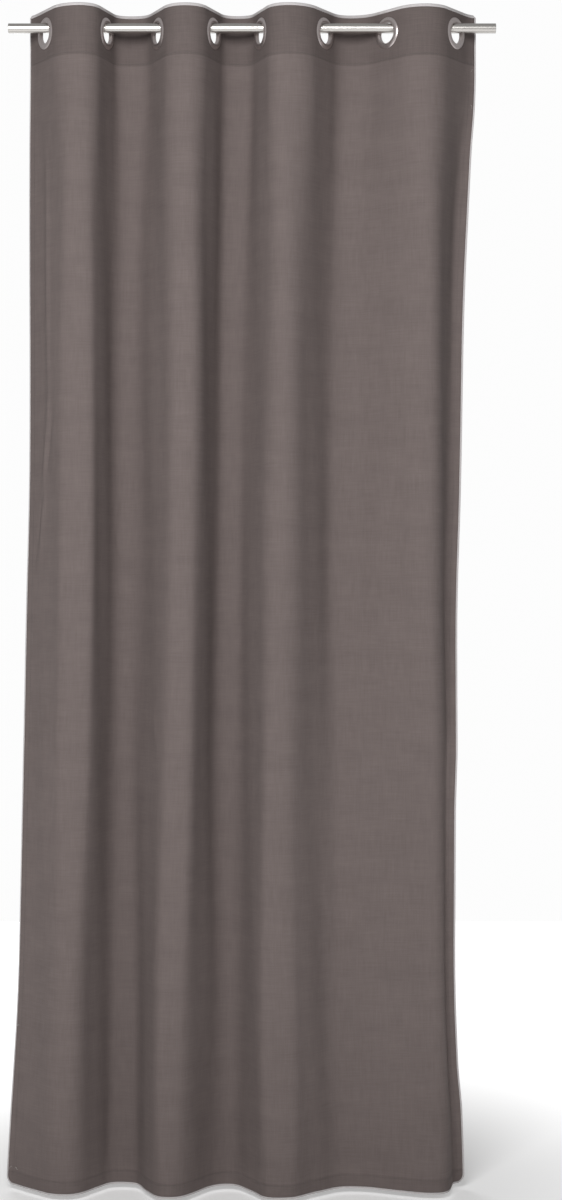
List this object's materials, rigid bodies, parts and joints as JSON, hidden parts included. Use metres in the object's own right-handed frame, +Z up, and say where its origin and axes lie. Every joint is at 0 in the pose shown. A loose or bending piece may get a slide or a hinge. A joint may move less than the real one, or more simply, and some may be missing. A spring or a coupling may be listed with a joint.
{
  "type": "eyelet curtain panel",
  "caption": "Long pleated fabric curtain panel with metal ring eyelets, threaded on a slim steel pole; it swings, and draws together along the pole.",
  "frame": {"origin": "on the pole's axis, at the middle of its length", "axes": "+Z up, +X along the pole to the right as seen from the room, the room on the -Y side"},
  "size_m": [1.0118, 0.1284, 2.453],
  "materials": {
    "pole": "satin",
    "eyelet": "satin nickel plate",
    "cloth": "matte plain weave",
    "tape": "stiff non-woven",
    "binding": "matte",
    "thread": "twisted sewing thread",
    "label": "blank satin tape"
  },
  "bodies": {
    "pole": {"pole_tube": "pole"},
    "fold_1": {"face_cloth_1": "cloth", "heading_tape_1": "tape", "edge_trim_1": "binding", "hem_thread_1": "thread", "side_hem_left": "cloth"},
    "fold_2": {"face_cloth_2": "cloth", "heading_tape_2": "tape", "edge_trim_2": "binding", "hem_thread_2": "thread"},
    "fold_3": {"face_cloth_3": "cloth", "heading_tape_3": "tape", "edge_trim_3": "binding", "hem_thread_3": "thread"},
    "fold_4": {"face_cloth_4": "cloth", "heading_tape_4": "tape", "edge_trim_4": "binding", "hem_thread_4": "thread"},
    "fold_5": {"face_cloth_5": "cloth", "heading_tape_5": "tape", "edge_trim_5": "binding", "hem_thread_5": "thread"},
    "fold_6": {"face_cloth_6": "cloth", "heading_tape_6": "tape", "edge_trim_6": "binding", "hem_thread_6": "thread"},
    "fold_7": {"face_cloth_7": "cloth", "heading_tape_7": "tape", "edge_trim_7": "binding", "hem_thread_7": "thread"},
    "fold_8": {"face_cloth_8": "cloth", "heading_tape_8": "tape", "edge_trim_8": "binding", "hem_thread_8": "thread", "side_hem_right": "cloth", "care_label": "label"},
    "eyelet_1": {"eyelet_front_ring_1": "eyelet", "eyelet_back_ring_1": "eyelet"},
    "eyelet_2": {"eyelet_front_ring_2": "eyelet", "eyelet_back_ring_2": "eyelet"},
    "eyelet_3": {"eyelet_front_ring_3": "eyelet", "eyelet_back_ring_3": "eyelet"},
    "eyelet_4": {"eyelet_front_ring_4": "eyelet", "eyelet_back_ring_4": "eyelet"},
    "eyelet_5": {"eyelet_front_ring_5": "eyelet", "eyelet_back_ring_5": "eyelet"},
    "eyelet_6": {"eyelet_front_ring_6": "eyelet", "eyelet_back_ring_6": "eyelet"},
    "eyelet_7": {"eyelet_front_ring_7": "eyelet", "eyelet_back_ring_7": "eyelet"},
    "eyelet_8": {"eyelet_front_ring_8": "eyelet", "eyelet_back_ring_8": "eyelet"}
  },
  "joints": [
    {"name": "swing", "type": "hinge", "parent": "pole", "child": "fold_1", "pos_m": [0, 0, 0], "axis": [1, 0, 0], "range_deg": [-12, 12]},
    {"name": "slide_2", "type": "slide", "parent": "fold_1", "child": "fold_2", "axis": [1, 0, 0], "range_m": [-0.08263, 0]},
    {"name": "slide_3", "type": "slide", "parent": "fold_1", "child": "fold_3", "axis": [1, 0, 0], "range_m": [-0.15394, 0]},
    {"name": "slide_4", "type": "slide", "parent": "fold_1", "child": "fold_4", "axis": [1, 0, 0], "range_m": [-0.22925, 0]},
    {"name": "slide_5", "type": "slide", "parent": "fold_1", "child": "fold_5", "axis": [1, 0, 0], "range_m": [-0.29496, 0]},
    {"name": "slide_6", "type": "slide", "parent": "fold_1", "child": "fold_6", "axis": [1, 0, 0], "range_m": [-0.38149, 0]},
    {"name": "slide_7", "type": "slide", "parent": "fold_1", "child": "fold_7", "axis": [1, 0, 0], "range_m": [-0.46802, 0]},
    {"name": "draw", "type": "slide", "parent": "fold_1", "child": "fold_8", "axis": [1, 0, 0], "range_m": [-0.56087, 0], "deforming": ["face_cloth_1", "heading_tape_1", "edge_trim_1", "hem_thread_1", "side_hem_left", "face_cloth_2", "heading_tape_2", "edge_trim_2", "hem_thread_2", "face_cloth_3", "heading_tape_3", "edge_trim_3", "hem_thread_3", "face_cloth_4", "heading_tape_4", "edge_trim_4", "hem_thread_4", "face_cloth_5", "heading_tape_5", "edge_trim_5", "hem_thread_5", "face_cloth_6", "heading_tape_6", "edge_trim_6", "hem_thread_6", "face_cloth_7", "heading_tape_7", "edge_trim_7", "hem_thread_7", "face_cloth_8", "heading_tape_8", "edge_trim_8", "hem_thread_8", "side_hem_right", "care_label"]},
    {"name": "turn_1", "type": "hinge", "parent": "fold_1", "child": "eyelet_1", "pos_m": [-0.42794, 0, 0], "axis": [0, 0, 1], "range_deg": [-20.06, 0]},
    {"name": "turn_2", "type": "hinge", "parent": "fold_2", "child": "eyelet_2", "pos_m": [-0.30289, 0, 0], "axis": [0, 0, 1], "range_deg": [0, 13]},
    {"name": "turn_3", "type": "hinge", "parent": "fold_3", "child": "eyelet_3", "pos_m": [-0.19485, 0, 0], "axis": [0, 0, 1], "range_deg": [-16.63, 0]},
    {"name": "turn_4", "type": "hinge", "parent": "fold_4", "child": "eyelet_4", "pos_m": [-0.08073, 0, 0], "axis": [0, 0, 1], "range_deg": [0, 15.44]},
    {"name": "turn_5", "type": "hinge", "parent": "fold_5", "child": "eyelet_5", "pos_m": [0.01882, 0, 0], "axis": [0, 0, 1], "range_deg": [-14.84, 0]},
    {"name": "turn_6", "type": "hinge", "parent": "fold_6", "child": "eyelet_6", "pos_m": [0.14993, 0, 0], "axis": [0, 0, 1], "range_deg": [0, 20.6]},
    {"name": "turn_7", "type": "hinge", "parent": "fold_7", "child": "eyelet_7", "pos_m": [0.28104, 0, 0], "axis": [0, 0, 1], "range_deg": [-25.03, 0]},
    {"name": "turn_8", "type": "hinge", "parent": "fold_8", "child": "eyelet_8", "pos_m": [0.42186, 0, 0], "axis": [0, 0, 1], "range_deg": [0, 22.17]}
  ],
  "couplings": [
    {"joint": "slide_2", "follows": "draw", "ratio": 0.14714},
    {"joint": "slide_3", "follows": "draw", "ratio": 0.27429},
    {"joint": "slide_4", "follows": "draw", "ratio": 0.40857},
    {"joint": "slide_5", "follows": "draw", "ratio": 0.52571},
    {"joint": "slide_6", "follows": "draw", "ratio": 0.68},
    {"joint": "slide_7", "follows": "draw", "ratio": 0.83429},
    {"joint": "turn_1", "follows": "draw", "rad_per_m": 0.62254},
    {"joint": "turn_2", "follows": "draw", "rad_per_m": -0.40284},
    {"joint": "turn_3", "follows": "draw", "rad_per_m": 0.51608},
    {"joint": "turn_4", "follows": "draw", "rad_per_m": -0.47898},
    {"joint": "turn_5", "follows": "draw", "rad_per_m": 0.46017},
    {"joint": "turn_6", "follows": "draw", "rad_per_m": -0.63945},
    {"joint": "turn_7", "follows": "draw", "rad_per_m": 0.7773},
    {"joint": "turn_8", "follows": "draw", "rad_per_m": -0.68847}
  ]
}
